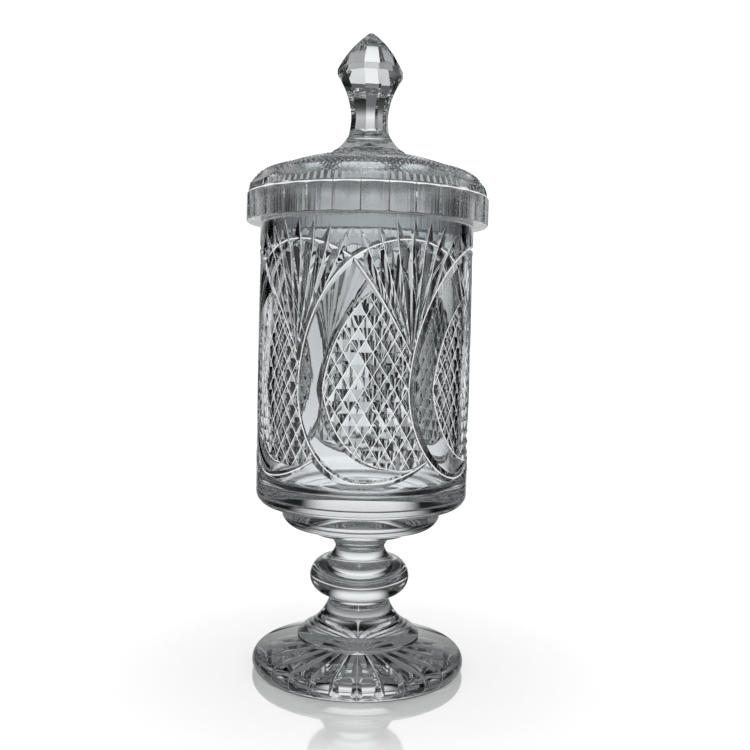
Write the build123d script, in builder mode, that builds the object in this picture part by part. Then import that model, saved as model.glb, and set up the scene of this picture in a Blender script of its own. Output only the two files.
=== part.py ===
"""Footed cut-glass jar with a domed lid: jar, stepped collar, knop stem and star-cut foot, and a lid with
a panelled skirt and a ten-sided finial. Millimetres, +Z up, origin under the middle of the foot."""

import os
from math import cos, degrees, pi, radians, sin

from build123d import *

# Jar: a straight cup with a heavy floor
jar_radius = 57.5
jar_wall = 7.0
jar_height = 151.5
jar_floor = 11.0
jar_corner = 7.5
jar_inner_corner = 7.0
rim_round = 1.0

# Wheel cuts round the jar: fans, loops, inner arcs and fields of diamonds
cut_repeats = 6
cut_turn = 24.0
plain_band = 19.0
rim_margin = 1.3
fan_rays = 7
fan_step = 8.0
fan_level = 63.0
ray_half = 3.7
ray_depth = 2.2
mitre_half = 2.2
mitre_depth = 1.6
diamond_width = 7.5
diamond_height = 12.0
diamond_depth = 1.6
diamond_flat = 0.1
diamond_level = 35.0
diamond_turn = -19.7

# Collar under the jar, stepped down to the stem
collar_height = 23.0
collar_inset = 14.2
collar_radius = jar_radius - collar_inset
collar_edge = 5.5
collar_step_radius = 33.0
collar_step = 0.9

# Stem with its single round knop
stem_height = 29.5
stem_top_radius = 13.4
stem_bottom_radius = 16.3
knop_radius = 27.1
knop_level = 13.0
knop_half = 9.6

# Foot with a raised boss and a star cut underneath
foot_radius = 57.8
foot_height = 37.5
foot_edge = 10.0
boss_radius = 33.4
boss_top_radius = 30.0
boss_base = 16.6
boss_step = 1.8
boss_rise = 3.4
star_rays = 24
star_outer = 52.5
star_inner = 9.0
star_depth = 2.6

# Lid: a seat on the rim, a flange inside the mouth, a panelled skirt and a low dome
lid_overhang = 7.7
lid_radius = jar_radius + lid_overhang
flange_clearance = 0.8
flange_depth = 6.7
flange_wall = 6.8
skirt_height = 15.0
skirt_panels = 30
skirt_turn = 3.0
shoulder_radius = 50.0
shoulder_rise = 13.4
dome_rise = 8.4
lid_wall = 9.5
roof_corner = 6.0
olive_count = 12
olive_turn = -3.0
olive_wheel = 18.0
olive_place = 0.61
olive_depth = 1.5

# Finial: ten-sided knob and neck on a round ringed base
finial_sides = 10
finial_turn = -11.0
finial_height = 65.5
finial_base_radius = 20.7
finial_ring = 1.0
finial_neck = 9.5
finial_neck_level = 21.0
finial_knob = 16.95
finial_girdle_level = 42.7
finial_girdle = 3.0
finial_tip = 1.4

# Levels that follow from the sizes above
stem_z = foot_height
collar_z = stem_z + stem_height
jar_z = collar_z + collar_height
rim_z = jar_z + jar_height
finial_z = rim_z + skirt_height + shoulder_rise + dome_rise
mouth_radius = jar_radius - jar_wall
flange_radius = mouth_radius - flange_clearance
cut_low = jar_z + plain_band
cut_height = jar_height - plain_band - rim_margin
wheel_lift = 1.5


# One ray of the star under the foot
star_half = 0.62 * pi * star_outer / star_rays
star_mid = 0.80 * star_outer
with BuildPart() as star_ray:
    with BuildSketch(Plane.YZ.offset(star_mid)) as ray_section:
        with BuildLine():
            Polyline(
                (-star_half * 1.2, -0.2 * star_depth),
                (star_half * 1.2, -0.2 * star_depth),
                (0, star_depth),
                close=True,
            )
        make_face()
    loft(
        sections=[
            Vertex(star_inner, 0, -0.2 * star_depth),
            ray_section.sketch.face(),
            Vertex(star_outer, 0, -0.2 * star_depth),
        ],
        ruled=True,
    )

# Foot
with BuildPart() as foot:
    with BuildSketch(Plane.XZ):
        with BuildLine():
            Polyline((0, 0), (foot_radius - 2.2, 0))
            ThreePointArc(
                (foot_radius - 2.2, 0),
                (foot_radius, foot_edge * 0.55),
                (foot_radius - 3.4, foot_edge),
            )
            boss_edge = boss_base + boss_step
            flare_z = boss_edge + boss_rise
            Line((foot_radius - 3.4, foot_edge), (boss_radius, boss_base))
            Line((boss_radius, boss_base), (boss_radius, boss_edge))
            Line((boss_radius, boss_edge), (boss_top_radius, flare_z))
            ThreePointArc(
                (boss_top_radius, flare_z),
                (
                    stem_bottom_radius + 0.30 * (boss_top_radius - stem_bottom_radius),
                    flare_z + 0.50 * (foot_height - flare_z),
                ),
                (stem_bottom_radius, foot_height),
            )
            Polyline((stem_bottom_radius, foot_height), (0, foot_height), (0, 0))
        make_face()
    revolve(axis=Axis.Z)
    with PolarLocations(0, star_rays):
        add(star_ray.part, mode=Mode.SUBTRACT)
foot.part.label = "foot"

# Stem with the knop
with BuildPart() as knop_stem:
    with BuildSketch(Plane.XZ):
        with BuildLine():
            knop_low = stem_z + knop_level - knop_half
            knop_high = stem_z + knop_level + knop_half
            low_radius = stem_bottom_radius + 0.40 * (knop_radius - stem_bottom_radius)
            high_radius = stem_top_radius + 0.50 * (knop_radius - stem_top_radius)
            Polyline((0, stem_z), (stem_bottom_radius, stem_z))
            ThreePointArc(
                (stem_bottom_radius, stem_z),
                (
                    stem_bottom_radius + 0.25 * (low_radius - stem_bottom_radius),
                    stem_z + 0.62 * (knop_low - stem_z),
                ),
                (low_radius, knop_low),
            )
            ThreePointArc(
                (low_radius, knop_low),
                (knop_radius, stem_z + knop_level),
                (high_radius, knop_high),
            )
            ThreePointArc(
                (high_radius, knop_high),
                (
                    stem_top_radius + 0.22 * (high_radius - stem_top_radius),
                    knop_high + 0.45 * (collar_z - knop_high),
                ),
                (stem_top_radius, collar_z),
            )
            Polyline((stem_top_radius, collar_z), (0, collar_z), (0, stem_z))
        make_face()
    revolve(axis=Axis.Z)
knop_stem.part.label = "knop_stem"

# Stepped collar between the stem and the jar
with BuildPart() as base_collar:
    with BuildSketch(Plane.XZ):
        with BuildLine():
            step_z = collar_z + 0.43 * collar_height
            inner_step = stem_top_radius + 0.62 * (collar_step_radius - stem_top_radius)
            inner_z = collar_z + 0.31 * collar_height
            edge_z = jar_z - collar_edge
            Line((0, collar_z), (stem_top_radius, collar_z))
            ThreePointArc(
                (stem_top_radius, collar_z),
                (
                    stem_top_radius + 0.27 * (inner_step - stem_top_radius),
                    collar_z + 0.63 * (inner_z - collar_z),
                ),
                (inner_step, inner_z),
            )
            Line((inner_step, inner_z), (inner_step, inner_z + collar_step))
            Line((inner_step, inner_z + collar_step), (collar_step_radius, step_z))
            Line((collar_step_radius, step_z), (collar_step_radius, step_z + collar_step))
            ThreePointArc(
                (collar_step_radius, step_z + collar_step),
                (
                    collar_step_radius + 0.74 * (collar_radius - collar_step_radius),
                    step_z + collar_step + 0.36 * (edge_z - step_z - collar_step),
                ),
                (collar_radius, edge_z),
            )
            Polyline((collar_radius, edge_z), (collar_radius, jar_z), (0, jar_z), (0, collar_z))
        make_face()
    revolve(axis=Axis.Z)
base_collar.part.label = "base_collar"

# The jar's side is laid out flat: degrees round from the middle of a fan, and hundredths of the cut height


def on_jar(turn, level):
    return Vector(
        jar_radius * sin(radians(turn)),
        -jar_radius * cos(radians(turn)),
        cut_low + level / 100 * cut_height,
    )


def outward(turn):
    return Vector(sin(radians(turn)), -cos(radians(turn)), 0)


def wheel_mark(spot, along, turn, half, depth):
    """The pointed section of a mitre wheel, square to the cut and standing a little out of the glass."""
    out = outward(turn)
    across = out.cross(along).normalized()
    wide = half * (1 + wheel_lift / depth)
    with BuildSketch(Plane(origin=spot, x_dir=across, z_dir=across.cross(out))) as mark:
        with BuildLine():
            Polyline((-wide, wheel_lift), (wide, wheel_lift), (0, -depth), close=True)
        make_face()
    return mark.sketch.face()


def mitre_marks(line, count):
    """Wheel marks along a flat line, running out shallow at both ends."""
    flat = [line.wire() @ (i / count) for i in range(count + 1)]
    spots = [on_jar(place.X, place.Y) for place in flat]
    marks = []
    for i, place in enumerate(flat):
        along = spots[min(i + 1, count)] - spots[max(i - 1, 0)]
        fade = min(1, 0.35 + i / 3, 0.35 + (count - i) / 3)
        marks.append(wheel_mark(spots[i], along, place.X, fade * mitre_half, fade * mitre_depth))
    return marks


def fan_spot(lean, reach):
    """A place on a fan's ray, by the ray's lean and the distance from the fan's root."""
    turn = degrees(reach * sin(radians(lean)) / jar_radius)
    return turn, 100 * (fan_level + reach * cos(radians(lean))) / cut_height


# The long loop, the inner arc, and the field of diamonds that they enclose with the loops on either side
with BuildLine() as loop_line:
    ThreePointArc((60.5, 48.0), (46.5, 66.5), (30.0, 84.2))
    ThreePointArc((30.0, 84.2), (0.0, 92.0), (-30.0, 85.0))
    ThreePointArc((-30.0, 85.0), (-53.5, 60.3), (-60.3, 35.5))
    ThreePointArc((-60.3, 35.5), (-48.5, 9.7), (-23.5, 0.2))
    ThreePointArc((-23.5, 0.2), (-5.0, 2.5), (11.5, 8.9))
with BuildLine() as inner_line:
    ThreePointArc((-20.5, 71.9), (-38.0, 54.5), (-45.2, 35.5))
    ThreePointArc((-45.2, 35.5), (-32.0, 13.9), (-10.5, 6.2))
with BuildLine() as field_line:
    add(inner_line.line)
    ThreePointArc((-10.5, 6.2), (1.0, 5.8), (11.5, 8.9))
    ThreePointArc((11.5, 8.9), (2.6, 21.6), (-0.3, 35.5))
    ThreePointArc((-0.3, 35.5), (0.4, 43.3), (0.0, 48.7))
    ThreePointArc((0.0, 48.7), (-9.5, 61.0), (-20.5, 71.9))

with BuildPart() as loop_cut:
    loft(sections=mitre_marks(loop_line, 28), ruled=True)
with BuildPart() as inner_cut:
    loft(sections=mitre_marks(inner_line, 12), ruled=True)

# The rays of a fan, alternate ones starting further out so that their points don't meet
fan_cuts = []
fan_reach = cut_height - fan_level
for ray in range(fan_rays):
    lean = (ray - (fan_rays - 1) / 2) * fan_step
    start = fan_spot(lean, (0.045 if ray % 2 else 0.023) * fan_reach)
    widest = fan_spot(lean, 0.79 * fan_reach)
    end = fan_spot(lean, fan_reach)
    run = on_jar(*end) - on_jar(*start)
    with BuildPart() as ray_cut:
        loft(
            sections=[
                Vertex(*(on_jar(*start) + outward(start[0]) * wheel_lift)),
                wheel_mark(on_jar(*widest), run, widest[0], ray_half, ray_depth),
                Vertex(*(on_jar(*end) + outward(end[0]) * wheel_lift)),
            ],
            ruled=True,
        )
    fan_cuts.append(ray_cut.part)

# One diamond, drawn larger than its place so that its foot is buried among its neighbours
with BuildPart() as diamond:
    bury = 1.7
    diamond_half = radians(diamond_width / 2) * jar_radius
    diamond_top = jar_radius - diamond_flat
    diamond_foot = diamond_top - bury * (0.875 * diamond_depth - diamond_flat)
    with BuildSketch(Plane.XZ.offset(diamond_foot)) as diamond_base:
        with BuildLine():
            Polyline(
                (bury * diamond_half, 0),
                (0, bury * diamond_height / 2),
                (-bury * diamond_half, 0),
                (0, -bury * diamond_height / 2),
                close=True,
            )
        make_face()
    loft(sections=[diamond_base.sketch.face(), Vertex(0, -diamond_top, 0)], ruled=True)

# What the wheel takes out of a field: a thin block in front of the diamonds
field_turn = -17.0
with BuildPart() as field_cut:
    with BuildSketch(
        Plane(
            origin=(0, 0, cut_low),
            x_dir=(cos(radians(field_turn)), sin(radians(field_turn)), 0),
            z_dir=outward(field_turn),
        )
    ):
        with BuildLine():
            edge = [field_line.wire() @ (i / 48) for i in range(48)]
            Polyline(
                *[
                    (jar_radius * sin(radians(place.X - field_turn)), place.Y / 100 * cut_height)
                    for place in edge
                ],
                close=True,
            )
        make_face()
    extrude(amount=2 * jar_radius)
    with BuildSketch(Plane.XY.offset(cut_low - plain_band)):
        Circle(jar_radius + wheel_lift)
        Circle(jar_radius - diamond_depth, mode=Mode.SUBTRACT)
    extrude(amount=jar_height, mode=Mode.INTERSECT)
    columns = range(-8, 9)
    rows = range(-int(cut_height / diamond_height), int(cut_height / diamond_height) + 1)
    with Locations(
        *[
            Location(
                (0, 0, cut_low + diamond_level + row * diamond_height / 2),
                (0, 0, diamond_turn + column * diamond_width / 2),
            )
            for column in columns
            for row in rows
            if (column + row) % 2 == 0
        ]
    ):
        add(diamond.part, mode=Mode.SUBTRACT)

# Jar
with BuildPart() as jar_body:
    with BuildSketch(Plane.XZ):
        with BuildLine():
            Polyline(
                (0, jar_z),
                (jar_radius, jar_z),
                (jar_radius, rim_z),
                (mouth_radius, rim_z),
                (mouth_radius, jar_z + jar_floor),
                (0, jar_z + jar_floor),
                close=True,
            )
        make_face()
    revolve(axis=Axis.Z)
    fillet(jar_body.edges().filter_by(GeomType.CIRCLE).group_by(Axis.Z)[0], jar_corner)
    floor_edge = (
        jar_body.edges()
        .filter_by(GeomType.CIRCLE)
        .filter_by_position(Axis.Z, jar_z + jar_floor - 0.1, jar_z + jar_floor + 0.1)
    )
    fillet(floor_edge, jar_inner_corner)
    fillet(jar_body.edges().filter_by(GeomType.CIRCLE).group_by(Axis.Z)[-1], rim_round)
    with PolarLocations(0, cut_repeats, start_angle=cut_turn):
        add(field_cut.part, mode=Mode.SUBTRACT)
        add(fan_cuts, mode=Mode.SUBTRACT)
        add(loop_cut.part, mode=Mode.SUBTRACT)
        add(inner_cut.part, mode=Mode.SUBTRACT)
jar_body.part.label = "jar_body"

# Lid
with BuildPart() as lid:
    skirt_z = rim_z + skirt_height
    shoulder_z = skirt_z + shoulder_rise
    pad_radius = finial_base_radius + 1.0
    inner_flange = flange_radius - flange_wall
    roof_z = finial_z - lid_wall
    roof_bend = roof_corner * (1 - cos(radians(45)))
    with BuildSketch(Plane.XZ):
        with BuildLine():
            Polyline(
                (0, roof_z),
                (0, finial_z),
                (pad_radius, finial_z),
            )
            ThreePointArc(
                (pad_radius, finial_z),
                (
                    0.5 * (pad_radius + shoulder_radius),
                    0.5 * (finial_z + shoulder_z) + 0.8,
                ),
                (shoulder_radius, shoulder_z),
            )
            shoulder = ThreePointArc(
                (shoulder_radius, shoulder_z),
                (
                    shoulder_radius + 0.70 * (lid_radius - shoulder_radius),
                    skirt_z + 0.64 * shoulder_rise,
                ),
                (lid_radius, skirt_z),
            )
            Polyline(
                (lid_radius, skirt_z),
                (lid_radius, rim_z),
                (flange_radius, rim_z),
                (flange_radius, rim_z - flange_depth),
                (inner_flange, rim_z - flange_depth),
                (inner_flange, roof_z - roof_corner),
            )
            ThreePointArc(
                (inner_flange, roof_z - roof_corner),
                (inner_flange - roof_bend, roof_z - roof_bend),
                (inner_flange - roof_corner, roof_z),
            )
            Line((inner_flange - roof_corner, roof_z), (0, roof_z))
        make_face()
    revolve(axis=Axis.Z)
    olive_spot = shoulder @ olive_place
    olive_run = shoulder % olive_place
    olive_out = olive_wheel - olive_depth
    olive_plane = Plane(
        origin=(olive_spot.X - olive_run.Y * olive_out, 0, olive_spot.Y + olive_run.X * olive_out),
        x_dir=(olive_run.X, 0, olive_run.Y),
        z_dir=(0, 1, 0),
    )
    with BuildSketch(Plane.XY.offset(rim_z - 2 * flange_depth)):
        RegularPolygon(lid_radius, skirt_panels, rotation=skirt_turn)
    extrude(amount=finial_z - rim_z + 4 * flange_depth, mode=Mode.INTERSECT)
    with PolarLocations(0, olive_count, start_angle=olive_turn):
        with Locations(olive_plane):
            Cylinder(olive_wheel, 2 * shoulder_radius, mode=Mode.SUBTRACT)
lid.part.label = "lid"

# Finial
with BuildPart() as finial:
    knob_z = finial_z + finial_girdle_level
    neck_z = finial_z + finial_neck_level
    tip_z = finial_z + finial_height
    flare = finial_base_radius - finial_ring
    flare_z = finial_z + 2 * finial_ring
    panel_foot = finial_neck + 0.45 * (flare - finial_neck)
    for pair in range(finial_sides // 2):
        with BuildSketch(Plane.XZ.rotated((0, 0, finial_turn + 360 * pair / finial_sides))):
            with BuildLine():
                Line((0, finial_z), (panel_foot, finial_z))
                Line((panel_foot, finial_z), (panel_foot, flare_z))
                ThreePointArc(
                    (panel_foot, flare_z),
                    (
                        finial_neck + 0.28 * (panel_foot - finial_neck),
                        flare_z + 0.45 * (neck_z - flare_z),
                    ),
                    (finial_neck, neck_z),
                )
                ThreePointArc(
                    (finial_neck, neck_z),
                    (
                        finial_neck + 0.36 * (finial_knob - finial_neck),
                        neck_z + 0.58 * (knob_z - neck_z),
                    ),
                    (finial_knob, knob_z),
                )
                Line((finial_knob, knob_z), (finial_knob, knob_z + finial_girdle))
                ThreePointArc(
                    (finial_knob, knob_z + finial_girdle),
                    (
                        finial_tip + 0.62 * (finial_knob - finial_tip),
                        knob_z + finial_girdle + 0.50 * (tip_z - knob_z - finial_girdle),
                    ),
                    (finial_tip, tip_z),
                )
                Line((finial_tip, tip_z), (0, tip_z))
                Line((0, tip_z), (0, finial_z))
            make_face()
            mirror(about=Plane.YZ)
        extrude(
            amount=2 * finial_base_radius,
            both=True,
            mode=Mode.ADD if pair == 0 else Mode.INTERSECT,
        )
    with BuildSketch(Plane.XZ):
        with BuildLine():
            flare_top = finial_z + 0.72 * finial_neck_level
            Polyline(
                (0, finial_z),
                (finial_base_radius, finial_z),
                (finial_base_radius, finial_z + finial_ring),
                (flare, finial_z + finial_ring),
                (flare, flare_z),
            )
            ThreePointArc(
                (flare, flare_z),
                (
                    finial_neck + 0.42 * (flare - finial_neck),
                    flare_z + 0.40 * (flare_top - flare_z),
                ),
                (finial_neck, flare_top),
            )
            Polyline((finial_neck, flare_top), (0, flare_top), (0, finial_z))
        make_face()
    revolve(axis=Axis.Z)
finial.part.label = "finial"

os.makedirs("parts", exist_ok=True)
export_step(foot.part, "parts/foot.step")
export_step(knop_stem.part, "parts/knop_stem.step")
export_step(base_collar.part, "parts/base_collar.step")
export_step(jar_body.part, "parts/jar_body.step")
export_step(lid.part, "parts/lid.step")
export_step(finial.part, "parts/finial.step")
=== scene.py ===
"""Footed cut-crystal jar with a domed lid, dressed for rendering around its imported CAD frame."""

from math import atan2, cos, hypot, pi, radians, sin, sqrt

import bmesh
import bpy
from mathutils import Matrix, Vector


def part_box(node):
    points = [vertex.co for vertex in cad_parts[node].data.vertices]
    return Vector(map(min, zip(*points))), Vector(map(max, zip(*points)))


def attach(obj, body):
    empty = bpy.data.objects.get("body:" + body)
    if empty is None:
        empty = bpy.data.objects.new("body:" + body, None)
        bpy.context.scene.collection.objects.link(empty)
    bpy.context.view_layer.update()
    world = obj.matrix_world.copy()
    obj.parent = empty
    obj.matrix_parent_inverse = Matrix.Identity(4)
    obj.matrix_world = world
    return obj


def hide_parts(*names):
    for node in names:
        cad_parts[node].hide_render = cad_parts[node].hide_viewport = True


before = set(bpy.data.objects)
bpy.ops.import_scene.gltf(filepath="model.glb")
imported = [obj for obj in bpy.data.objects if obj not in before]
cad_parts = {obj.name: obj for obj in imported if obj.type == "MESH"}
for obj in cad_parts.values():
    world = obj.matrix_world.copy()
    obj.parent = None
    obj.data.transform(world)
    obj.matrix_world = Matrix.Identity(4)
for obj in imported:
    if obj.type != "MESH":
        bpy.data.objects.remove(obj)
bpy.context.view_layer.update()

bl_info = {
    "name": "Cut-crystal jar",
    "version": (1, 0, 0),
    "blender": (4, 5, 0),
    "location": "3D View > Sidebar > Crystal jar",
    "description": "Models a footed cut-crystal jar with a domed lid and a faceted finial",
    "category": "Mesh",
}

# Pieces are drawn in millimetres, as one unit each, and scaled to metres when they are finished
MM = 0.001
# Sides of a turned piece and of the lid, and the distance within which points are merged
STEPS = 180
LID_STEPS = 220
MERGE = 0.004
# Half widths of the fine ground line at the bottom of a cut: straight cuts, loops and arcs
LINE = 0.16
ARC_LINE = 0.3
# Repeats of the pattern round the jar, and the depth of the dome's small diamonds against their width
REPEATS = 6
LATTICE = 0.7
# How far the finial's tip stays inside the frame's box
INSET = 0.02
# Slots of the finishes on every piece
JOINT, GROUND, SATIN = 1, 2, 3

JAR_LOW, JAR_RIM = (corner[2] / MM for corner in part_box("jar_body"))
COLLAR_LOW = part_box("base_collar")[0][2] / MM
STEM_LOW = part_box("knop_stem")[0][2] / MM
LID_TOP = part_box("finial")[0][2] / MM
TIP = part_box("finial")[1][2] / MM

# The studio's light as the glass sees it
# Cosines of the bright screen's edges, and its levels at the horizon and away from it
SCREEN = (0.86, 0.985, 0.66, 1.02)
# Heights between which the screen fades upwards, and the share that is left
SCREEN_TOP = (0.2, 0.5, 0.16)
# Levels of the dark cards, and of the weak light from the viewer's side, the sides and below
DARK = 0.0
BACK, SIDE, BELOW = 0.1, 0.04, 0.45
# Tones of the floor as the glass sees it, straight behind and to the sides, where it is painted dark as
# painted shade, and the share that is left under the foot, a painted shadow
FLOOR_SHADE = (0.9, 0.02)
FOOT_SHADOW = 0.4
# Level of the white room
ROOM = 1.12

# The camera's focal length and the picture's width in pixels, and the sensor's width
FOCAL, PICTURE, SENSOR = 944.0, 750.0, 36.0

# Radii that neighbours share
STEM_BOTTOM = 16.3
STEM_TOP = 13.4
COLLAR = 43.3
FINIAL_BASE = 20.7


# Settings


class JarSettings(bpy.types.PropertyGroup):
    """Sizes of the jar and of its cutting."""

    radius: bpy.props.FloatProperty(
        name="Jar radius",
        description="Outside radius of the straight cup",
        default=0.0575,
        unit="LENGTH",
    )
    wall: bpy.props.FloatProperty(
        name="Wall",
        description="Thickness of the cup's side",
        default=0.007,
        unit="LENGTH",
    )
    ray_depth: bpy.props.FloatProperty(
        name="Fan depth",
        description="Depth of a fan's rays at their widest",
        default=0.0022,
        unit="LENGTH",
    )
    mitre_half: bpy.props.FloatProperty(
        name="Mitre half width",
        description="Half the width of the mitre cuts of the loops and arcs",
        default=0.0022,
        unit="LENGTH",
    )
    diamond_depth: bpy.props.FloatProperty(
        name="Diamond depth",
        description="Depth of the cuts between the diamonds",
        default=0.0019,
        unit="LENGTH",
    )
    turn: bpy.props.FloatProperty(
        name="Pattern turn",
        description="Angle of the first fan from the front",
        default=radians(24.0),
        unit="ROTATION",
    )


class LidSettings(bpy.types.PropertyGroup):
    """Sizes of the lid."""

    radius: bpy.props.FloatProperty(
        name="Lid radius",
        description="Radius at the corners of the skirt's panels",
        default=0.0652,
        unit="LENGTH",
    )
    panels: bpy.props.IntProperty(
        name="Skirt panels",
        description="Number of flat panels round the skirt",
        default=30,
    )
    olives: bpy.props.IntProperty(
        name="Olive cuts",
        description="Number of long hollow cuts round the shoulder",
        default=12,
    )
    olive_depth: bpy.props.FloatProperty(
        name="Olive depth",
        description="Depth of the hollow cuts on the shoulder",
        default=0.0019,
        unit="LENGTH",
    )


class GlassSettings(bpy.types.PropertyGroup):
    """Finish of the crystal."""

    colour: bpy.props.FloatVectorProperty(
        name="Glass colour",
        description="Tint of the polished crystal",
        subtype="COLOR",
        size=4,
        default=(0.946, 0.974, 0.986, 1.0),
    )
    ior: bpy.props.FloatProperty(
        name="Index of refraction",
        description="How strongly the crystal bends light",
        default=1.545,
    )


class StageSettings(bpy.types.PropertyGroup):
    """Camera, floor and light."""

    distance: bpy.props.FloatProperty(
        name="Camera distance",
        description="From the camera to the jar's axis",
        default=0.5155,
        unit="LENGTH",
    )
    height: bpy.props.FloatProperty(
        name="Camera height",
        description="Of the camera above the floor",
        default=0.1855,
        unit="LENGTH",
    )


# Small tools for modelling


def deselect():
    """Leaves edit mode with nothing selected."""
    if bpy.context.object and bpy.context.object.mode != "OBJECT":
        bpy.ops.object.mode_set(mode="OBJECT")
    bpy.ops.object.select_all(action="DESELECT")


def pick(obj):
    """Makes one object the selected and active one."""
    deselect()
    obj.select_set(True)
    bpy.context.view_layer.objects.active = obj


def arc(start, middle, end, count):
    """Points after start, up to end, on the circle through three points."""
    (ax, ay), (bx, by), (cx, cy) = start, middle, end
    d = 2 * (ax * (by - cy) + bx * (cy - ay) + cx * (ay - by))
    a2 = ax * ax + ay * ay
    b2 = bx * bx + by * by
    c2 = cx * cx + cy * cy
    ux = (a2 * (by - cy) + b2 * (cy - ay) + c2 * (ay - by)) / d
    uy = (a2 * (cx - bx) + b2 * (ax - cx) + c2 * (bx - ax)) / d
    radius = hypot(ax - ux, ay - uy)
    first = atan2(ay - uy, ax - ux)
    turn = (atan2(cy - uy, cx - ux) - first) % (2 * pi)
    if (atan2(by - uy, bx - ux) - first) % (2 * pi) > turn:
        turn -= 2 * pi
    points = []
    for i in range(1, count + 1):
        angle = first + turn * i / count
        points.append((ux + radius * cos(angle), uy + radius * sin(angle)))
    return points


def new_object(name, bm):
    """An object from a bmesh, with its faces turned outwards."""
    mesh = bpy.data.meshes.new(name)
    bm.to_mesh(mesh)
    bm.free()
    obj = bpy.data.objects.new(name, mesh)
    bpy.context.collection.objects.link(obj)
    face_out(obj)
    return obj


def face_out(obj):
    """Turns a closed mesh's faces outwards."""
    pick(obj)
    bpy.ops.object.mode_set(mode="EDIT")
    bpy.ops.mesh.select_all(action="SELECT")
    bpy.ops.mesh.normals_make_consistent(inside=False)
    bpy.ops.object.mode_set(mode="OBJECT")


def turned(name, outline, steps=STEPS):
    """Draws an outline of radius and height by extruding a vertex, and spins it."""
    deselect()
    bpy.ops.mesh.primitive_plane_add(size=1, enter_editmode=True)
    obj = bpy.context.object
    obj.name = name
    obj.data.name = name
    bpy.ops.mesh.merge(type="CENTER")
    at = Vector((outline[0][0], 0, outline[0][1]))
    bpy.ops.transform.translate(value=at)
    for radius, height in outline[1:]:
        to = Vector((radius, 0, height))
        bpy.ops.mesh.extrude_vertices_move(TRANSFORM_OT_translate={"value": to - at})
        at = to
    bpy.ops.mesh.select_all(action="SELECT")
    bpy.ops.mesh.spin(steps=steps, angle=2 * pi, center=(0, 0, 0), axis=(0, 0, 1))
    bpy.ops.mesh.select_all(action="SELECT")
    bpy.ops.mesh.remove_doubles(threshold=MERGE)
    bpy.ops.mesh.dissolve_degenerate(threshold=MERGE)
    bpy.ops.mesh.normals_make_consistent(inside=False)
    bpy.ops.object.mode_set(mode="OBJECT")
    return glassed(obj)


def carve(target, tool, operation="DIFFERENCE"):
    """Cuts a target with a tool that is then thrown away."""
    pick(target)
    mod = target.modifiers.new("carve", "BOOLEAN")
    mod.object = tool
    mod.operation = operation
    mod.solver = "EXACT"
    bpy.ops.object.modifier_apply(modifier=mod.name)
    bpy.data.objects.remove(tool, do_unlink=True)


def join(first, *others):
    """Makes several objects one mesh."""
    pick(first)
    for obj in others:
        obj.select_set(True)
    bpy.ops.object.join()
    return first


def paint(obj, *joints):
    """Gives the unseen joints of hot-joined glass their finish.

    A joint is a height and a radius: the flat disc there is glass that runs on into glass."""
    for face in obj.data.polygons:
        far = max(hypot(*obj.data.vertices[v].co[:2]) for v in face.vertices)
        for height, radius in joints:
            if abs(face.center.z - height) < 0.01 and abs(face.normal.z) > 0.99 and far < radius + 0.05:
                face.material_index = JOINT


def finish(obj, body, node, angle=24.0):
    """Closes and shades a piece, brings it to metres and hands it to the frame."""
    pick(obj)
    bpy.ops.object.mode_set(mode="EDIT")
    bpy.ops.mesh.select_all(action="SELECT")
    bpy.ops.mesh.remove_doubles(threshold=MERGE)
    bpy.ops.mesh.normals_make_consistent(inside=False)
    bpy.ops.object.mode_set(mode="OBJECT")
    bpy.ops.object.shade_smooth_by_angle(angle=radians(angle))
    obj.scale = (MM, MM, MM)
    bpy.ops.object.transform_apply(location=False, rotation=False, scale=True)
    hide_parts(node)
    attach(obj, body)


# Finishes


def shader(name):
    """A new material with its Principled node, its nodes and its links."""
    mat = bpy.data.materials.new(name)
    mat.use_nodes = True
    tree = mat.node_tree
    return mat, tree.nodes["Principled BSDF"], tree.nodes, tree.links


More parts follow.
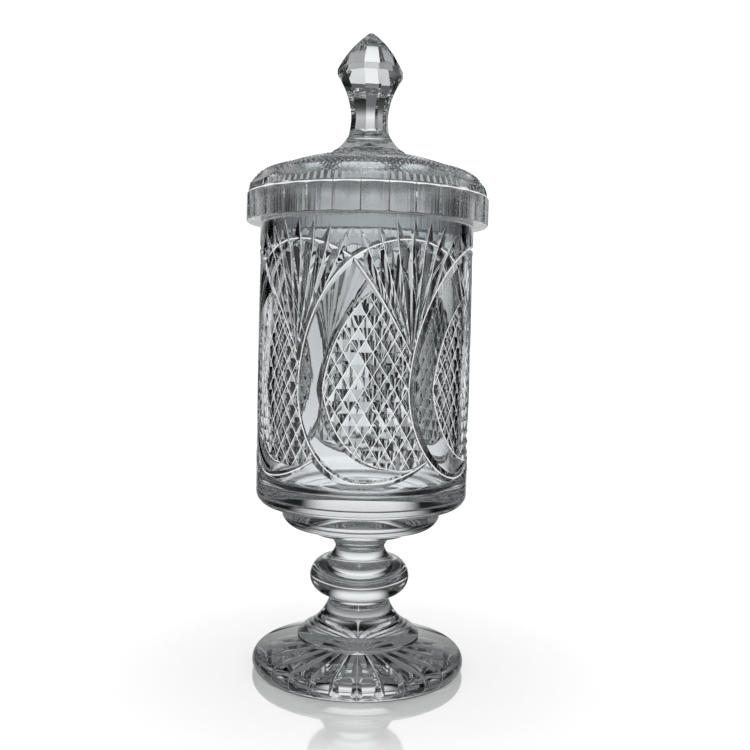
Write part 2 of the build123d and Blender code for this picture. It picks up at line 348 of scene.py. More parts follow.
class CRYSTAL_OT_glass(bpy.types.Operator):
    """Polished, ground and satin crystal, and the unseen joints of hot-joined glass"""

    bl_idname = "crystal.glass"
    bl_label = "Glass"

    def execute(self, context):
        settings = context.scene.crystal_glass
        mat, bsdf, nodes, links = shader("polished_crystal")
        bsdf.inputs["Base Color"].default_value = settings.colour
        bsdf.inputs["IOR"].default_value = settings.ior
        bsdf.inputs["Transmission Weight"].default_value = 1.0
        bsdf.inputs["Roughness"].default_value = 0.0
        mat, bsdf, nodes, links = shader("ground_crystal")
        bsdf.inputs["Base Color"].default_value = (0.95, 0.96, 0.96, 1)
        bsdf.inputs["IOR"].default_value = settings.ior
        bsdf.inputs["Transmission Weight"].default_value = 0.15
        where = nodes.new("ShaderNodeTexCoord")
        grain = nodes.new("ShaderNodeTexNoise")
        grain.inputs["Scale"].default_value = 900.0
        grain.inputs["Detail"].default_value = 3.0
        spread = nodes.new("ShaderNodeMapRange")
        spread.inputs["To Min"].default_value = 0.22
        spread.inputs["To Max"].default_value = 0.5
        links.new(where.outputs["Object"], grain.inputs["Vector"])
        links.new(grain.outputs["Fac"], spread.inputs["Value"])
        links.new(spread.outputs["Result"], bsdf.inputs["Roughness"])
        mat, bsdf, nodes, links = shader("satin_crystal")
        bsdf.inputs["Base Color"].default_value = (0.78, 0.81, 0.825, 1)
        bsdf.inputs["IOR"].default_value = settings.ior
        bsdf.inputs["Transmission Weight"].default_value = 1.0
        bsdf.inputs["Roughness"].default_value = 0.26
        where = nodes.new("ShaderNodeTexCoord")
        upright = nodes.new("ShaderNodeMapping")
        upright.inputs["Scale"].default_value = (1.0, 1.0, 0.04)
        streaks = nodes.new("ShaderNodeTexNoise")
        streaks.inputs["Scale"].default_value = 600.0
        streaks.inputs["Detail"].default_value = 2.0
        relief = nodes.new("ShaderNodeBump")
        relief.inputs["Strength"].default_value = 1.0
        relief.inputs["Distance"].default_value = 0.0004
        links.new(where.outputs["Object"], upright.inputs["Vector"])
        links.new(upright.outputs["Vector"], streaks.inputs["Vector"])
        links.new(streaks.outputs["Fac"], relief.inputs["Height"])
        links.new(relief.outputs["Normal"], bsdf.inputs["Normal"])
        mat, bsdf, nodes, links = shader("hot_joint")
        nodes.remove(bsdf)
        clear = nodes.new("ShaderNodeBsdfTransparent")
        links.new(clear.outputs["BSDF"], nodes["Material Output"].inputs["Surface"])
        return {"FINISHED"}


def glassed(obj):
    """Gives an object the slots of the polished, joined, ground and satin finishes."""
    for name in ("polished_crystal", "hot_joint", "ground_crystal", "satin_crystal"):
        obj.data.materials.append(bpy.data.materials[name])
    return obj


# Wheel cuts on a flat sheet: x along, y up, z out of the glass


def ray_cut(name, root, tip, widest, half, depth, down=1, lift=0.5):
    """The mark of a mitre wheel: a long kite with a fine ground line along its bottom.

    It runs from root to tip and is widest at a share of the way. It is cut down into the sheet,
    or with down at -1 up into it, and lift is how far the cutter stands out."""
    root, tip = Vector(root), Vector(tip)
    along = tip - root
    across = Vector((-along.y, along.x)).normalized()
    middle = root + along * widest
    grow = (depth + lift) / depth
    bm = bmesh.new()

    def spot(place, height):
        return bm.verts.new((place.x, place.y, height * down))

    start = spot(middle + (root - middle) * grow, lift)
    end = spot(middle + (tip - middle) * grow, lift)
    left = spot(middle + across * half * grow, lift)
    right = spot(middle - across * half * grow, lift)
    low_left = spot(middle + across * LINE, -depth)
    low_right = spot(middle - across * LINE, -depth)
    for ring in (
        (start, left, end, right),
        (start, low_left, left),
        (left, low_left, end),
        (start, right, low_right),
        (right, end, low_right),
    ):
        bm.faces.new(ring)
    for ring in ((start, low_right, low_left), (end, low_left, low_right)):
        bm.faces.new(ring).material_index = GROUND
    return glassed(new_object(name, bm))


def groove(name, path, half, slope, lift=0.5):
    """A mitre groove along a path, half its width given at each point, with a fine ground bottom."""
    bm = bmesh.new()
    rings = []
    for i, (x, y) in enumerate(path):
        before = Vector(path[max(i - 1, 0)])
        after = Vector(path[min(i + 1, len(path) - 1)])
        along = (after - before).normalized()
        across = Vector((-along.y, along.x))
        wide = half[i] + lift / slope
        rings.append(
            [
                bm.verts.new((x + across.x * out, y + across.y * out, z))
                for out, z in (
                    (wide, lift),
                    (-wide, lift),
                    (-ARC_LINE, -half[i] * slope),
                    (ARC_LINE, -half[i] * slope),
                )
            ]
        )
    bm.faces.new(rings[0])
    bm.faces.new(rings[-1])
    for a, b in zip(rings, rings[1:]):
        for i in range(4):
            j = (i + 1) % 4
            face = bm.faces.new((a[i], a[j], b[j], b[i]))
            face.material_index = GROUND if i == 2 else 0
    return glassed(new_object(name, bm))


def prism(name, outline, low, high):
    """A flat outline drawn at one height and extruded to another."""
    bm = bmesh.new()
    bm.faces.new([bm.verts.new((x, y, low)) for x, y in outline])
    obj = new_object(name, bm)
    bpy.ops.object.mode_set(mode="EDIT")
    bpy.ops.mesh.select_all(action="SELECT")
    bpy.ops.mesh.extrude_region_move(TRANSFORM_OT_translate={"value": (0, 0, high - low)})
    bpy.ops.object.mode_set(mode="OBJECT")
    face_out(obj)
    return obj


def diamond_block(name, outline, origin, pitch, top, depth, lift=0.5):
    """What the wheel takes out of a field: a block whose floor is a sheet of pyramids.

    outline bounds the field, origin is a crossing of the cuts and pitch a diamond's width and height."""
    half_x, half_y = pitch[0] / 2, pitch[1] / 2
    xs = [p[0] for p in outline]
    ys = [p[1] for p in outline]
    i0 = int((min(xs) - origin[0]) / half_x) - 2
    i1 = int((max(xs) - origin[0]) / half_x) + 2
    j0 = int((min(ys) - origin[1]) / half_y) - 2
    j1 = int((max(ys) - origin[1]) / half_y) + 2
    inset = 1 - LINE * hypot(half_x, half_y) / (half_x * half_y)
    bm = bmesh.new()
    bases = {}
    for i in range(i0, i1 + 1):
        for j in range(j0, j1 + 1):
            if (i + j) % 2:
                x, y = origin[0] + i * half_x, origin[1] + j * half_y
                peak = bm.verts.new((x, y, -top))
                base = [
                    bm.verts.new((x + dx * half_x * inset, y + dy * half_y * inset, -depth))
                    for dx, dy in ((1, 0), (0, 1), (-1, 0), (0, -1))
                ]
                for k in range(4):
                    bm.faces.new((peak, base[k], base[(k + 1) % 4]))
                bases[i, j] = base
    lines = []
    for (i, j), (east, north, west, south) in bases.items():
        if (i + 1, j + 1) in bases:
            other = bases[i + 1, j + 1]
            lines.append((east, other[3], other[2], north))
        if (i + 1, j - 1) in bases:
            other = bases[i + 1, j - 1]
            lines.append((south, other[2], other[1], east))
        around = [bases.get(at) for at in ((i + 1, j + 1), (i + 2, j), (i + 1, j - 1))]
        if all(around):
            lines.append((east, around[2][1], around[1][2], around[0][3]))
    for ring in lines:
        bm.faces.new(ring).material_index = GROUND
    obj = glassed(new_object(name, bm))
    bpy.ops.object.mode_set(mode="EDIT")
    bpy.ops.mesh.select_all(action="SELECT")
    bpy.ops.mesh.extrude_region_move(TRANSFORM_OT_translate={"value": (0, 0, 100)})
    bpy.ops.transform.resize(value=(1, 1, 0), center_override=(0, 0, lift))
    bpy.ops.object.mode_set(mode="OBJECT")
    face_out(obj)
    carve(obj, prism("field_edge", outline, -2 * depth, 0.5 * lift), "INTERSECT")
    return obj


# The jar's pattern, laid out flat: degrees round from the middle of a fan, and hundredths of the cut height

CUT_LOW = JAR_LOW + 19.0
CUT_HIGH = JAR_RIM - 1.3
FAN_LEVEL = CUT_LOW + 63.0
FAN_RAYS = 7
FAN_STEP = 8.0
LOOP = (
    ((60.5, 48.0), (46.5, 66.5), (30.0, 84.2)),
    ((30.0, 84.2), (0.0, 92.0), (-30.0, 85.0)),
    ((-30.0, 85.0), (-53.5, 60.3), (-60.3, 35.5)),
    ((-60.3, 35.5), (-48.5, 9.7), (-23.5, 0.2)),
    ((-23.5, 0.2), (-5.0, 2.5), (11.5, 8.9)),
)
INNER = (
    ((-20.5, 71.9), (-38.0, 54.5), (-45.2, 35.5)),
    ((-45.2, 35.5), (-32.0, 13.9), (-10.5, 6.2)),
)
FIELD = INNER + (
    ((-10.5, 6.2), (1.0, 5.8), (11.5, 8.9)),
    ((11.5, 8.9), (2.6, 21.6), (-0.3, 35.5)),
    ((-0.3, 35.5), (0.4, 43.3), (0.0, 48.7)),
    ((0.0, 48.7), (-9.5, 61.0), (-20.5, 71.9)),
)


def laid_out(arcs, count, degree, shift=0.0):
    """Points along a chain of flat arcs, count to each, in millimetres."""
    points = [arcs[0][0]]
    for start, middle, end in arcs:
        points += arc(start, middle, end, count)
    height = CUT_HIGH - CUT_LOW
    return [(turn * degree + shift, CUT_LOW + level / 100 * height) for turn, level in points]


def runs_out(count, first, last, shares):
    """Widths along a cut that starts and ends fine: a share of the full width at each point."""
    widths = []
    for i in range(count):
        at = i / (count - 1) * (len(shares) - 1)
        low = min(int(at), len(shares) - 2)
        share = shares[low] + (shares[low + 1] - shares[low]) * (at - low)
        widths.append(share * min(1.0, 0.3 + i / first, 0.3 + (count - 1 - i) / last))
    return widths


def jar_tools(sixth):
    """The cutters that reach one sixth of the jar, -30 to 30 degrees from a fan's middle."""
    jar = bpy.context.scene.crystal_jar
    degree = sixth / 60
    half = jar.mitre_half / MM
    tools = []
    for shift in (0, sixth):
        tools.append(
            diamond_block(
                "diamonds",
                laid_out(FIELD, 10, degree, shift)[:-1],
                (-19.7 * degree + shift, CUT_LOW + 29.0),
                (sixth / 8, 12.0),
                0.1,
                jar.diamond_depth / MM,
            )
        )
    reach = CUT_HIGH - FAN_LEVEL
    for ray in range(FAN_RAYS):
        lean = radians((ray - (FAN_RAYS - 1) / 2) * FAN_STEP)
        start = 3.0 if ray % 2 else 1.5
        end = reach - 0.3 * abs(ray - (FAN_RAYS - 1) / 2)
        tools.append(
            ray_cut(
                "ray",
                (start * sin(lean), FAN_LEVEL + start * cos(lean)),
                (end * sin(lean), FAN_LEVEL + end * cos(lean)),
                0.78,
                4.1,
                jar.ray_depth / MM,
            )
        )
    for shift in (-sixth, 0, sixth):
        path = laid_out(LOOP, 12, degree, shift)
        widths = runs_out(len(path), 5, 8, (0.75, 0.62, 0.55, 0.8, 1.08, 1.12, 1.1, 0.95, 0.8, 0.62))
        tools.append(groove("loop", path, [half * w for w in widths], 0.72))
    for shift in (0, sixth):
        path = laid_out(INNER, 14, degree, shift)
        widths = runs_out(len(path), 6, 10, (0.9, 1.1, 1.15, 1.0, 0.8))
        tools.append(groove("inner_arc", path, [half * w for w in widths], 0.72))
    return tools


def cut_side(low, high):
    """The jar's cut side between two heights, as one ring of faces."""
    jar = bpy.context.scene.crystal_jar
    radius = jar.radius / MM
    sixth = 2 * pi * radius / REPEATS
    tools = jar_tools(sixth)
    thick = 4.0
    deselect()
    bpy.ops.mesh.primitive_cube_add(size=1, location=(0, (low + high) / 2, -thick / 2))
    sheet = bpy.context.object
    sheet.name = "jar_side"
    glassed(sheet)
    sheet.scale = (sixth, high - low, thick)
    bpy.ops.object.transform_apply(location=True, rotation=True, scale=True)
    for tool in tools:
        carve(sheet, tool)
    near = 0.002
    edge = sixth / 2
    pick(sheet)
    bpy.ops.object.mode_set(mode="EDIT")
    bpy.ops.mesh.select_all(action="DESELECT")
    bm = bmesh.from_edit_mesh(sheet.data)
    for face in bm.faces:
        xs = [v.co.x for v in face.verts]
        ys = [v.co.y for v in face.verts]
        zs = [v.co.z for v in face.verts]
        at_side = min(xs) > edge - near or max(xs) < near - edge
        at_end = min(ys) > high - near or max(ys) < low + near
        at_back = max(zs) < near - thick
        face.select_set(at_side or at_end or at_back)
    bmesh.update_edit_mesh(sheet.data)
    bpy.ops.mesh.delete(type="FACE")
    strips = STEPS // REPEATS
    for i in range(1, strips):
        bpy.ops.mesh.select_all(action="SELECT")
        bpy.ops.mesh.bisect(
            plane_co=((i / strips - 0.5) * sixth, 0, 0), plane_no=(1, 0, 0), threshold=0.0005
        )
    bpy.ops.mesh.select_all(action="SELECT")
    bpy.ops.mesh.remove_doubles(threshold=MERGE)
    bpy.ops.object.mode_set(mode="OBJECT")
    for v in sheet.data.vertices:
        turn = v.co.x / radius + jar.turn
        out = radius + v.co.z
        v.co = (out * sin(turn), -out * cos(turn), v.co.y)
    pick(sheet)
    bpy.ops.object.mode_set(mode="EDIT")
    bpy.ops.mesh.select_all(action="SELECT")
    bpy.ops.mesh.spin(
        steps=REPEATS, dupli=True, angle=2 * pi, center=(0, 0, 0), axis=(0, 0, 1)
    )
    bpy.ops.mesh.select_all(action="SELECT")
    bpy.ops.mesh.remove_doubles(threshold=MERGE)
    bpy.ops.object.mode_set(mode="OBJECT")
    return sheet


# Pieces


class CRYSTAL_OT_jar(bpy.types.Operator):
    """Straight cup with a heavy floor, cut with fans, loops and fields of diamonds"""

    bl_idname = "crystal.jar"
    bl_label = "Jar"

    def execute(self, context):
        jar = context.scene.crystal_jar
        radius = jar.radius / MM
        mouth = radius - jar.wall / MM
        base, rim = JAR_LOW, JAR_RIM - 0.05
        floor = base + 11.0
        cove, heel = 7.0, 7.5
        low, high = base + 13.0, rim - 1.2
        side = cut_side(low, high)
        top = [(radius, high), (radius, rim - 1.0)]
        top += arc((radius, rim - 1.0), (radius - 0.293, rim - 0.293), (radius - 1.0, rim), 5)
        top += [(mouth + 1.0, rim)]
        top += arc((mouth + 1.0, rim), (mouth + 0.293, rim - 0.293), (mouth, rim - 1.0), 5)
        top += [(mouth, rim - 8.0), (mouth, floor + cove)]
        top += arc((mouth, floor + cove), (mouth - 2.05, floor + 2.05), (mouth - cove, floor), 10)
        top += [(0.0, floor)]
        bend = heel * (1 - sqrt(0.5))
        bottom = [(0.0, base), (COLLAR, base), (radius - heel, base)]
        bottom += arc(
            (radius - heel, base), (radius - bend, base + bend), (radius, base + heel), 12
        )
        bottom += [(radius, low)]
        obj = join(side, turned("jar_inside", top), turned("jar_base", bottom))
        obj.name = "crystal_jar"
        obj.data.name = "crystal_jar"
        paint(obj, (base, COLLAR))
        finish(obj, "jar", "jar_body", 16.0)
        return {"FINISHED"}


class CRYSTAL_OT_collar(bpy.types.Operator):
    """Stepped collar that carries the jar on its stem"""

    bl_idname = "crystal.collar"
    bl_label = "Collar"

    def execute(self, context):
        low, high = COLLAR_LOW, JAR_LOW
        neck, step, wide, lip = STEM_TOP, 33.0, COLLAR, 0.9
        step_z = low + 0.43 * (high - low)
        inner = neck + 0.62 * (step - neck)
        inner_z = low + 0.31 * (high - low)
        edge_z = high - 5.5
        outline = [(0, low), (neck, low)]
        outline += arc(
            (neck, low),
            (neck + 0.27 * (inner - neck), low + 0.63 * (inner_z - low)),
            (inner, inner_z),
            16,
        )
        outline += [(inner, inner_z + lip), (step, step_z), (step, step_z + lip)]
        outline += arc(
            (step, step_z + lip),
            (step + 0.74 * (wide - step), step_z + lip + 0.36 * (edge_z - step_z - lip)),
            (wide, edge_z),
            14,
        )
        outline += [(wide, high), (0, high)]
        obj = turned("crystal_collar", outline)
        paint(obj, (low, neck), (high, wide))
        finish(obj, "jar", "base_collar")
        return {"FINISHED"}


class CRYSTAL_OT_stem(bpy.types.Operator):
    """Stem with one round knop"""

    bl_idname = "crystal.stem"
    bl_label = "Knop stem"

    def execute(self, context):
        low, high = STEM_LOW, COLLAR_LOW
        bottom, top, knop = STEM_BOTTOM, STEM_TOP, 27.1
        level = low + 13.0
        knop_low, knop_high = level - 9.6, level + 9.6
        low_r = bottom + 0.40 * (knop - bottom)
        high_r = top + 0.50 * (knop - top)
        outline = [(0, low), (bottom, low)]
        outline += arc(
            (bottom, low),
            (bottom + 0.25 * (low_r - bottom), low + 0.62 * (knop_low - low)),
            (low_r, knop_low),
            10,
        )
        outline += arc((low_r, knop_low), (knop, level), (high_r, knop_high), 48)
        outline += arc(
            (high_r, knop_high),
            (top + 0.22 * (high_r - top), knop_high + 0.45 * (high - knop_high)),
            (top, high),
            12,
        )
        outline += [(0, high)]
        obj = turned("crystal_stem", outline)
        paint(obj, (low, bottom), (high, top))
        finish(obj, "jar", "knop_stem")
        return {"FINISHED"}


class CRYSTAL_OT_foot(bpy.types.Operator):
    """Round foot with a boss above and a star cut below"""

    bl_idname = "crystal.foot"
    bl_label = "Foot"

    def execute(self, context):
        high = STEM_LOW
        wide, edge, boss, boss_top, neck = 57.8, 10.0, 33.4, 30.0, STEM_BOTTOM
        boss_z = 16.6
        boss_edge = boss_z + 1.8
        flare_z = boss_edge + 3.4
        outline = [(0, 0), (wide - 2.2, 0)]
        outline += arc((wide - 2.2, 0), (wide, edge * 0.55), (wide - 3.4, edge), 16)
        outline += [(boss, boss_z), (boss, boss_edge), (boss_top, flare_z)]
        outline += arc(
            (boss_top, flare_z),
            (neck + 0.30 * (boss_top - neck), flare_z + 0.50 * (high - flare_z)),
            (neck, high),
            18,
        )
        outline += [(0, high)]
        obj = turned("crystal_foot", outline)
        rays, tip, widest, half, depth = 24, 50.0, 0.74, 3.0, 2.0
        for i in range(rays):
            turn = 2 * pi * i / rays
            root = 5.5 if i % 2 else 4.0
            ray = ray_cut(
                "star_ray",
                (root * cos(turn), root * sin(turn)),
                (tip * cos(turn), tip * sin(turn)),
                (widest * tip - root) / (tip - root),
                half,
                depth,
                -1,
            )
            carve(obj, ray)
        paint(obj, (high, neck))
        finish(obj, "jar", "foot", 20.0)
        return {"FINISHED"}


def fine_diamonds(obj, rings, steps):
    """Sinks every other point of a turned surface, so that its squares become small diamonds.

    rings are the radius, height, depth and slope of each ring of points, from the top down."""
    bm = bmesh.new()
    bm.from_mesh(obj.data)
    places = {}
    for v in bm.verts:
        for j, (radius, height, depth, tilt) in enumerate(rings):
            if abs(v.co.z - height) < 0.01 and abs(hypot(v.co.x, v.co.y) - radius) < 0.01:
                i = round(atan2(v.co.y, v.co.x) / (2 * pi) * steps) % steps
                places[v] = (i, j)
    low = set()
    for v, (i, j) in places.items():
        if (i + j) % 2:
            radius, height, depth, tilt = rings[j]
            inward = Vector((v.co.x, v.co.y, 0)).normalized() * sin(tilt) + Vector((0, 0, cos(tilt)))
            v.co -= inward * depth
            low.add(v)
    for face in list(bm.faces):
        if len(face.verts) == 4 and all(v in places for v in face.verts):
            ends = [v for v in face.verts if v in low]
            if len(ends) == 2:
                bmesh.utils.face_split(face, ends[0], ends[1])
    bm.to_mesh(obj.data)
    bm.free()


class CRYSTAL_OT_lid(bpy.types.Operator):
    """Lid with a satin flange and bore, a panelled skirt and a cut dome"""

    bl_idname = "crystal.lid"
    bl_label = "Lid"

    def execute(self, context):
        settings = context.scene.crystal_lid
        jar = context.scene.crystal_jar
        rim, top = JAR_RIM, LID_TOP
        wide = settings.radius / MM
        mouth = (jar.radius - jar.wall) / MM
        flange = mouth - 0.8
        bore = flange - 6.8
        flange_z, bevel_z = rim - 6.7, rim - 6.2
        skirt_z = rim + 15.0
        rise, points, first = 13.4, 240, radians(3.0)
        shoulder, shoulder_z = 50.0, skirt_z + rise
        pad = FINIAL_BASE + 1.0
        roof = top - 9.5
        corner = 6.0
        bend = corner * (1 - sqrt(0.5))
        satin_z = roof - corner - 4.0
        flat = wide * cos(pi / settings.panels)
        dome = [(pad, top)]
        dome += arc(
            (pad, top),
            (0.5 * (pad + shoulder), 0.5 * (top + shoulder_z) + 0.8),
            (shoulder, shoulder_z),
            points,
        )
        dome += arc(
            (shoulder, shoulder_z),
            (shoulder + 0.70 * (wide - shoulder), skirt_z + 0.64 * rise),
            (wide, skirt_z),
            points,
        )
        rings = []
        gone = 0.0
        for (r0, z0), (r1, z1) in zip(dome, dome[1:]):
            gone += hypot(r1 - r0, z1 - z0)
            step = 2 * pi * r1 / LID_STEPS
            if gone >= step * 1.05 and pad + 0.8 < r1 < flat - 0.9:
                rings.append((r1, z1, LATTICE * step, atan2(z0 - z1, r1 - r0)))
                gone = 0.0
        outline = [(0, top), (FINIAL_BASE, top), (pad, top)]
        outline += [(r, z) for r, z, depth, tilt in rings]
        outline += [
            (flat - 0.5, skirt_z + 0.5),
            (flat - 0.5, skirt_z - 0.2),
            (wide, skirt_z - 1.3),
            (wide, rim + 0.6),
            (wide - 0.6, rim),
            (jar.radius / MM, rim),
            (flange, rim),
            (flange, bevel_z),
            (flange - 0.5, flange_z),
            (bore + 0.5, flange_z),
            (bore, bevel_z),
            (bore, rim),
            (bore, satin_z),
            (bore, roof - corner),
        ]
        outline += arc(
            (bore, roof - corner), (bore - bend, roof - bend), (bore - corner, roof), 12
        )
        outline += [(0, roof)]
        obj = turned("crystal_lid", outline, LID_STEPS)
        fine_diamonds(obj, rings, LID_STEPS)
        pick(obj)
        bpy.ops.object.mode_set(mode="EDIT")
        for i in range(settings.panels):
            turn = 2 * pi * (i + 0.5) / settings.panels + first
            out = Vector((cos(turn), sin(turn), 0))
            bpy.ops.mesh.select_all(action="SELECT")
            bpy.ops.mesh.bisect(
                plane_co=out * flat, plane_no=out, use_fill=True, clear_outer=True, threshold=0.0005
            )
        bpy.ops.object.mode_set(mode="OBJECT")
        mitres = []
        notch = ((0.45, 0.45), (-1.0, 0.0), (0.45, -0.45))
        for i in range(settings.panels):
            mitre = prism("mitre", notch, rim - 1.0, skirt_z + 1.0)
            mitre.data.transform(Matrix.Translation((wide - 0.05, 0, 0)))
            turn = 2 * pi * i / settings.panels + first
            mitre.data.transform(Matrix.Rotation(turn, 4, "Z"))
            mitres.append(mitre)
        carve(obj, join(*mitres))
        place = points + round(0.61 * points)
        spot = dome[place]
        after = dome[place + 1]
        run = Vector((after[0] - spot[0], 0, after[1] - spot[1])).normalized()
        out = Vector((-run.z, 0, run.x))
        wheel = 18.0
        middle = Vector((spot[0], 0, spot[1])) + out * (wheel - settings.olive_depth / MM)
        for i in range(settings.olives):
            deselect()
            bpy.ops.mesh.primitive_cylinder_add(
                vertices=288, radius=wheel, depth=80, location=middle, rotation=(pi / 2, 0, 0)
            )
            tool = bpy.context.object
            bpy.ops.object.transform_apply(location=True, rotation=True, scale=True)
            tool.data.transform(Matrix.Rotation(2 * pi * i / settings.olives - first, 4, "Z"))
            carve(obj, tool)
        paint(obj, (top, FINIAL_BASE))
        for face in obj.data.polygons:
            centre = face.center
            out = hypot(centre.x, centre.y)
            if bore - 0.1 < out < flange + 0.1 and bevel_z - 0.1 < centre.z < satin_z:
                face.material_index = SATIN
            elif out > flat - 0.6 and skirt_z - 1.4 < centre.z < skirt_z + 0.6 and face.normal.z > 0.3:
                face.material_index = GROUND
        finish(obj, "lid", "lid", 7.0)
        return {"FINISHED"}


class CRYSTAL_OT_finial(bpy.types.Operator):
    """Ten-sided knob and neck on a round ringed base"""

    bl_idname = "crystal.finial"
    bl_label = "Finial"

    def execute(self, context):
        low, tip = LID_TOP, TIP - INSET
        base, ring, neck, knob, point = FINIAL_BASE, 1.0, 9.5, 16.95, 1.4
        sides, neck_rise = 10, 21.0
        flare = base - ring
        flare_z = low + 2 * ring
        neck_z = low + neck_rise
        knob_z = low + 42.7
        girdle_z = knob_z + 3.0
        foot = neck + 0.45 * (flare - neck)
        side = [(foot, flare_z)]
        side += arc(
            (foot, flare_z),
            (neck + 0.28 * (foot - neck), flare_z + 0.45 * (neck_z - flare_z)),
            (neck, neck_z),
            14,
        )
        side += arc(
            (neck, neck_z),
            (neck + 0.36 * (knob - neck), neck_z + 0.58 * (knob_z - neck_z)),
            (knob, knob_z),
            18,
        )
        side += [(knob, girdle_z)]
        side += arc(
            (knob, girdle_z),
            (point + 0.62 * (knob - point), girdle_z + 0.50 * (tip - girdle_z)),
            (point, tip),
            12,
        )
        deselect()
        bpy.ops.mesh.primitive_circle_add(
            vertices=sides,
            radius=foot / cos(pi / sides),
            fill_type="NGON",
            location=(0, 0, flare_z),
            rotation=(0, 0, radians(-11.0)),
            enter_editmode=True,
        )
        obj = glassed(bpy.context.object)
        obj.name = "crystal_finial"
        obj.data.name = "crystal_finial"
        at_r, at_z = side[0]
        for radius, height in side[1:]:
            bpy.ops.mesh.extrude_region_move(
                TRANSFORM_OT_translate={"value": (0, 0, height - at_z)}
            )
            bpy.ops.transform.resize(
                value=(radius / at_r, radius / at_r, 1), center_override=(0, 0, height)
            )
            at_r, at_z = radius, height
        bpy.ops.object.mode_set(mode="OBJECT")
        bpy.ops.object.transform_apply(location=True, rotation=True, scale=True)
        face_out(obj)
        flare_top = low + 0.72 * neck_rise
        outline = [(0, low), (base, low), (base, low + ring), (flare, low + ring), (flare, flare_z)]
        outline += arc(
            (flare, flare_z),
            (neck + 0.42 * (flare - neck), flare_z + 0.40 * (flare_top - flare_z)),
            (neck, flare_top),
            14,
        )
        outline += [(0, flare_top)]
        carve(obj, turned("finial_base", outline), "UNION")
        paint(obj, (low, base))
        finish(obj, "lid", "finial", 20.0)
        return {"FINISHED"}


# Stage


def sum_of(tree, kind, first, second=None):
    """A Math node of a kind, from sockets or numbers."""
    node = tree.nodes.new("ShaderNodeMath")
    node.operation = kind
    for socket, value in zip(node.inputs, (first, second)):
        if isinstance(value, (int, float)):
            socket.default_value = value
        elif value:
            tree.links.new(value, socket)
    return node.outputs["Value"]


def ramp(tree, value, start, end, low, high):
    """A smooth step of a value, from low at start to high at end."""
    node = tree.nodes.new("ShaderNodeMapRange")
    node.interpolation_type = "SMOOTHSTEP"
    tree.links.new(value, node.inputs["Value"])
    node.inputs["From Min"].default_value = start
    node.inputs["From Max"].default_value = end
    for key, level in (("To Min", low), ("To Max", high)):
        if isinstance(level, (int, float)):
            node.inputs[key].default_value = level
        else:
            tree.links.new(level, node.inputs[key])
    return node.outputs["Result"]


def through_glass(tree):
    """1 for a ray that has been through glass or comes off its polish, and 0 for any other."""
    path = tree.nodes.new("ShaderNodeLightPath")
    bent = sum_of(tree, "MAXIMUM", path.outputs["Is Glossy Ray"], path.outputs["Is Transmission Ray"])
    inside = sum_of(tree, "GREATER_THAN", path.outputs["Transmission Depth"], 0.5)
    sharp = sum_of(tree, "MAXIMUM", path.outputs["Is Singular Ray"], inside)
    clear = sum_of(tree, "LESS_THAN", path.outputs["Diffuse Depth"], 0.5)
    return sum_of(tree, "MULTIPLY", sum_of(tree, "MULTIPLY", bent, sharp), clear)


def studio(scene):
    """A white room to the eye, and to the glass a bright screen behind with dark cards beside it."""
    world = bpy.data.worlds.new("studio")
    scene.world = world
    world.use_nodes = True
    tree = world.node_tree
    tree.nodes.clear()
    out = tree.nodes.new("ShaderNodeOutputWorld")
    light = tree.nodes.new("ShaderNodeBackground")
    light.inputs["Color"].default_value = (1, 1, 1, 1)
    tree.links.new(light.outputs["Background"], out.inputs["Surface"])
    where = tree.nodes.new("ShaderNodeTexCoord")
    split = tree.nodes.new("ShaderNodeSeparateXYZ")
    tree.links.new(where.outputs["Generated"], split.inputs["Vector"])
    y, z = split.outputs["Y"], split.outputs["Z"]
    flat = sum_of(tree, "SQRT", sum_of(tree, "SUBTRACT", 1.0, sum_of(tree, "MULTIPLY", z, z)))
    facing = sum_of(tree, "DIVIDE", y, flat)
    glow = ramp(tree, sum_of(tree, "ABSOLUTE", z), 0.0, 0.3, SCREEN[2], SCREEN[3])
    fade = ramp(tree, z, SCREEN_TOP[0], SCREEN_TOP[1], 1.0, SCREEN_TOP[2])
    glow = sum_of(tree, "MULTIPLY", glow, fade)
    level = ramp(tree, facing, SCREEN[0], SCREEN[1], DARK, glow)
    beside = sum_of(tree, "ABSOLUTE", facing)
    for more in (
        ramp(tree, facing, -0.5, -0.9, 0.0, BACK),
        ramp(tree, beside, 0.5, 0.2, 0.0, SIDE),
        ramp(tree, z, -0.15, -0.35, 0.0, BELOW),
    ):
        level = sum_of(tree, "MAXIMUM", level, more)
    mix = tree.nodes.new("ShaderNodeMix")
    mix.data_type = "FLOAT"
    tree.links.new(through_glass(tree), mix.inputs["Factor"])
    mix.inputs["A"].default_value = ROOM
    tree.links.new(level, mix.inputs["B"])
    tree.links.new(mix.outputs["Result"], light.inputs["Strength"])


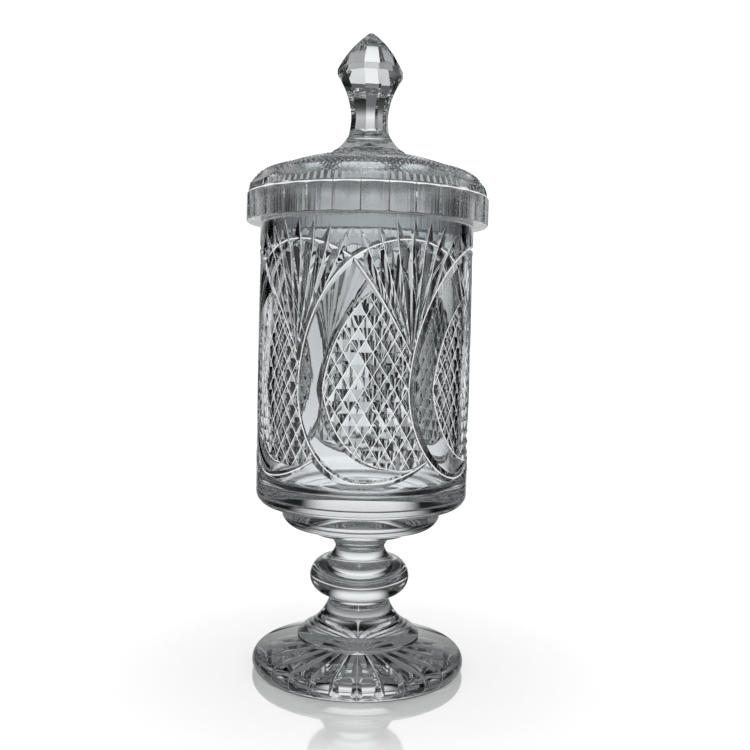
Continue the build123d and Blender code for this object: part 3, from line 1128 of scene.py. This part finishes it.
def pale_floor():
    """White floor with a soft sheen near the foot, which fades out where the room takes over; seen through
    the glass it carries painted shade to the sides and a painted shadow under the foot.
    """
    mat, bsdf, nodes, links = shader("pale_floor")
    tree = mat.node_tree
    bsdf.inputs["Specular IOR Level"].default_value = 0.0
    where = nodes.new("ShaderNodeTexCoord")
    away = nodes.new("ShaderNodeVectorMath")
    away.operation = "LENGTH"
    links.new(where.outputs["Object"], away.inputs[0])
    away = away.outputs["Value"]
    # Painted shade: to the eye the floor is white, but rays through the glass see it painted darker under
    # the foot, a painted shadow, and nearly black to the sides
    tone_and_shade = nodes.new("ShaderNodeMix")
    tone_and_shade.data_type = "RGBA"
    links.new(through_glass(tree), tone_and_shade.inputs["Factor"])
    tone_and_shade.inputs["A"].default_value = (0.97, 0.97, 0.97, 1)
    split = nodes.new("ShaderNodeSeparateXYZ")
    links.new(where.outputs["Object"], split.inputs["Vector"])
    aside = sum_of(tree, "ABSOLUTE", split.outputs["X"])
    # Painted shadow under the foot, and painted shade to the sides, for rays that come through the glass
    under = ramp(tree, away, 0.05, 0.085, FOOT_SHADOW, 1.0)
    aside = ramp(tree, aside, 0.025, 0.065, FLOOR_SHADE[0], FLOOR_SHADE[1])
    links.new(sum_of(tree, "MULTIPLY", aside, under), tone_and_shade.inputs["B"])
    links.new(tone_and_shade.outputs["Result"], bsdf.inputs["Base Color"])
    sheen = nodes.new("ShaderNodeBsdfGlossy")
    sheen.inputs["Roughness"].default_value = 0.06
    near = nodes.new("ShaderNodeMixShader")
    gloss = ramp(tree, away, 0.07, 0.15, 0.5, 0.0)
    gloss = sum_of(tree, "MULTIPLY", gloss, ramp(tree, away, 0.052, 0.058, 0.0, 1.0))
    links.new(gloss, near.inputs["Fac"])
    links.new(bsdf.outputs["BSDF"], near.inputs[1])
    links.new(sheen.outputs["BSDF"], near.inputs[2])
    gone = nodes.new("ShaderNodeBsdfTransparent")
    edge = nodes.new("ShaderNodeMixShader")
    links.new(ramp(tree, away, 0.16, 0.31, 0.0, 1.0), edge.inputs["Fac"])
    links.new(near.outputs["Shader"], edge.inputs[1])
    links.new(gone.outputs["BSDF"], edge.inputs[2])
    links.new(edge.outputs["Shader"], nodes["Material Output"].inputs["Surface"])
    return mat


class CRYSTAL_OT_stage(bpy.types.Operator):
    """Pale floor, soft light and the camera"""

    bl_idname = "crystal.stage"
    bl_label = "Stage"

    def execute(self, context):
        scene = context.scene
        settings = scene.crystal_stage
        deselect()
        bpy.ops.mesh.primitive_circle_add(
            vertices=96, radius=0.32, fill_type="NGON", location=(0, 0, -0.0001)
        )
        floor = bpy.context.object
        floor.name = "floor"
        floor.data.materials.append(pale_floor())
        studio(scene)
        camera = bpy.data.cameras.new("camera")
        camera.sensor_width = SENSOR
        camera.lens = FOCAL / PICTURE * SENSOR
        camera.clip_start = 0.01
        view = bpy.data.objects.new("camera", camera)
        scene.collection.objects.link(view)
        pitch, yaw, roll = radians(2.78), radians(-0.68), radians(1.33)
        view.matrix_world = (
            Matrix.Translation((0, -settings.distance, settings.height))
            @ Matrix.Rotation(yaw, 4, "Z")
            @ Matrix.Rotation(pi / 2 - pitch, 4, "X")
            @ Matrix.Rotation(roll, 4, "Z")
        )
        scene.camera = view
        scene.view_settings.view_transform = "Standard"
        scene.cycles.max_bounces = 32
        scene.cycles.transmission_bounces = 32
        scene.cycles.glossy_bounces = 16
        scene.cycles.transparent_max_bounces = 32
        return {"FINISHED"}


class CRYSTAL_PT_panel(bpy.types.Panel):
    """Sidebar panel with the jar's sizes and pieces"""

    bl_idname = "CRYSTAL_PT_panel"
    bl_label = "Crystal jar"
    bl_space_type = "VIEW_3D"
    bl_region_type = "UI"
    bl_category = "Crystal jar"

    def draw(self, context):
        scene = context.scene
        for group in (
            scene.crystal_jar,
            scene.crystal_lid,
            scene.crystal_glass,
            scene.crystal_stage,
        ):
            box = self.layout.box()
            for name in group.__annotations__:
                box.prop(group, name)
        for piece in PIECES:
            self.layout.operator(piece.bl_idname)


PIECES = (
    CRYSTAL_OT_glass,
    CRYSTAL_OT_foot,
    CRYSTAL_OT_stem,
    CRYSTAL_OT_collar,
    CRYSTAL_OT_jar,
    CRYSTAL_OT_lid,
    CRYSTAL_OT_finial,
    CRYSTAL_OT_stage,
)
CLASSES = (JarSettings, LidSettings, GlassSettings, StageSettings) + PIECES + (CRYSTAL_PT_panel,)


def register():
    for cls in CLASSES:
        bpy.utils.register_class(cls)
    bpy.types.Scene.crystal_jar = bpy.props.PointerProperty(type=JarSettings)
    bpy.types.Scene.crystal_lid = bpy.props.PointerProperty(type=LidSettings)
    bpy.types.Scene.crystal_glass = bpy.props.PointerProperty(type=GlassSettings)
    bpy.types.Scene.crystal_stage = bpy.props.PointerProperty(type=StageSettings)


def unregister():
    del bpy.types.Scene.crystal_stage
    del bpy.types.Scene.crystal_glass
    del bpy.types.Scene.crystal_lid
    del bpy.types.Scene.crystal_jar
    for cls in reversed(CLASSES):
        bpy.utils.unregister_class(cls)


def main():
    register()
    bpy.ops.crystal.glass()
    bpy.ops.crystal.foot()
    bpy.ops.crystal.stem()
    bpy.ops.crystal.collar()
    bpy.ops.crystal.jar()
    bpy.ops.crystal.lid()
    bpy.ops.crystal.finial()
    bpy.ops.crystal.stage()


if __name__ == "__main__":
    main()
